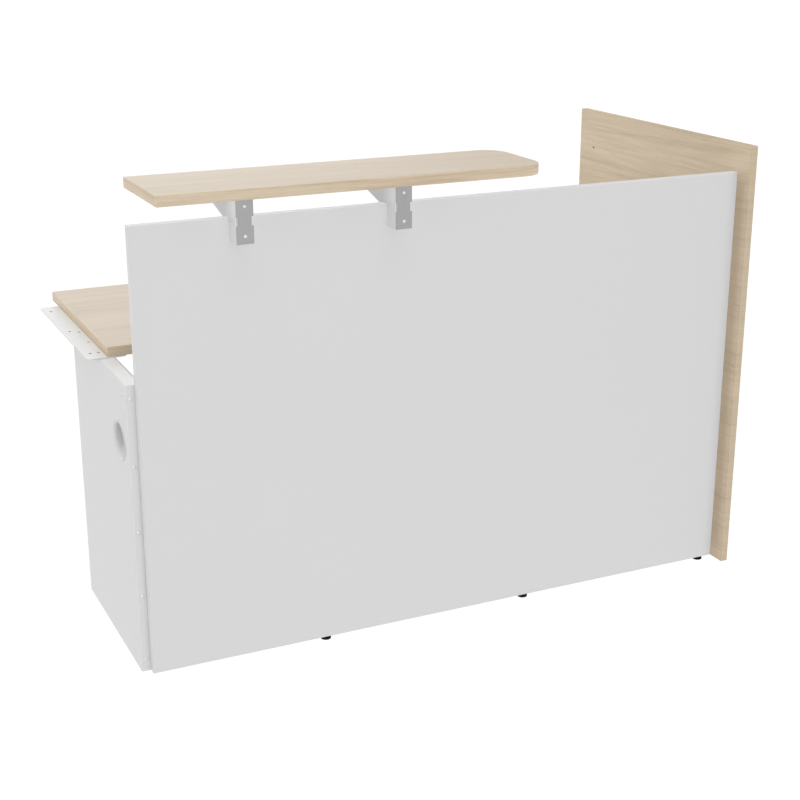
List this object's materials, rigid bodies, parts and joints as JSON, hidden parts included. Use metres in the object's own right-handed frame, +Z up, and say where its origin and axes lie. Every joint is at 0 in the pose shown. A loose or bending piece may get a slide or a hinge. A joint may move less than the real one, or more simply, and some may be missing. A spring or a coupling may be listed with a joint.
{
  "type": "reception desk",
  "caption": "Reception desk end unit: white front panel, wood-decor end panel and desktop, raised counter on steel brackets, hollow steel leg with link plate for a next unit, levelling feet.",
  "frame": {"origin": "on the floor, below the middle of the desk's outer box", "axes": "+X to the right and +Y away from a visitor who faces the front panel, +Z up"},
  "size_m": [1.6726, 0.896, 1.154],
  "materials": {
    "white_board": "white melamine-faced board",
    "wood_decor": "pale oak decor, satin, grain along the board",
    "white_steel": "white powder coat",
    "grey_steel": "flat grey plate",
    "zinc": "bright zinc plate",
    "white_plastic": "white moulded plastic",
    "black_plastic": "black moulded plastic"
  },
  "bodies": {
    "desk": {"front_panel": "white_board", "end_panel": "wood_decor", "desktop": "wood_decor", "counter_top": "wood_decor", "leg_shell": "white_steel", "leg_cover": "white_steel", "leg_top_cap": "white_steel", "leg_base_cap": "white_steel", "cable_port_sleeve": "white_plastic", "cable_port_ring": "white_plastic", "leg_front_screw_1": "zinc", "leg_front_screw_2": "zinc", "leg_front_screw_3": "zinc", "leg_front_screw_4": "zinc", "leg_front_screw_5": "zinc", "leg_side_screw_lower": "zinc", "leg_side_screw_upper": "zinc", "panel_screw_1": "zinc", "panel_screw_2": "zinc", "panel_screw_3": "zinc", "panel_screw_4": "zinc", "panel_screw_5": "zinc", "link_plate": "white_steel", "link_plate_screw_1": "zinc", "link_plate_screw_2": "zinc", "link_plate_screw_3": "zinc", "desktop_screw_1": "zinc", "desktop_screw_2": "zinc", "desktop_screw_3": "zinc", "desktop_angle": "white_steel", "corner_angle": "white_steel", "counter_bracket_left": "white_steel", "counter_bracket_right": "white_steel", "bracket_face_plate_left": "grey_steel", "bracket_face_plate_right": "grey_steel", "face_plate_screw_left_lower": "zinc", "face_plate_screw_left_upper": "zinc", "face_plate_screw_right_lower": "zinc", "face_plate_screw_right_upper": "zinc", "bracket_panel_screw_left_lower": "zinc", "bracket_panel_screw_left_upper": "zinc", "bracket_panel_screw_right_lower": "zinc", "bracket_panel_screw_right_upper": "zinc", "counter_screw_left_front": "zinc", "counter_screw_left_rear": "zinc", "counter_screw_right_front": "zinc", "counter_screw_right_rear": "zinc", "panel_foot_insert_1": "zinc", "panel_foot_insert_2": "zinc", "panel_foot_insert_3": "zinc", "end_foot_insert_front": "zinc", "end_foot_insert_rear": "zinc"},
    "panel_foot_1": {"panel_foot_1": "black_plastic"},
    "panel_foot_2": {"panel_foot_2": "black_plastic"},
    "panel_foot_3": {"panel_foot_3": "black_plastic"},
    "end_foot_front": {"end_foot_front": "black_plastic"},
    "end_foot_rear": {"end_foot_rear": "black_plastic"},
    "leg_foot_front": {"leg_foot_front": "black_plastic"},
    "leg_foot_rear": {"leg_foot_rear": "black_plastic"}
  },
  "joints": [
    {"name": "panel_foot_1_height", "type": "slide", "parent": "desk", "child": "panel_foot_1", "axis": [0, 0, -1], "range_m": [0, 0.01]},
    {"name": "panel_foot_2_height", "type": "slide", "parent": "desk", "child": "panel_foot_2", "axis": [0, 0, -1], "range_m": [0, 0.01]},
    {"name": "panel_foot_3_height", "type": "slide", "parent": "desk", "child": "panel_foot_3", "axis": [0, 0, -1], "range_m": [0, 0.01]},
    {"name": "end_foot_front_height", "type": "slide", "parent": "desk", "child": "end_foot_front", "axis": [0, 0, -1], "range_m": [0, 0.01]},
    {"name": "end_foot_rear_height", "type": "slide", "parent": "desk", "child": "end_foot_rear", "axis": [0, 0, -1], "range_m": [0, 0.01]},
    {"name": "leg_foot_front_height", "type": "slide", "parent": "desk", "child": "leg_foot_front", "axis": [0, 0, -1], "range_m": [0, 0.01]},
    {"name": "leg_foot_rear_height", "type": "slide", "parent": "desk", "child": "leg_foot_rear", "axis": [0, 0, -1], "range_m": [0, 0.01]}
  ]
}
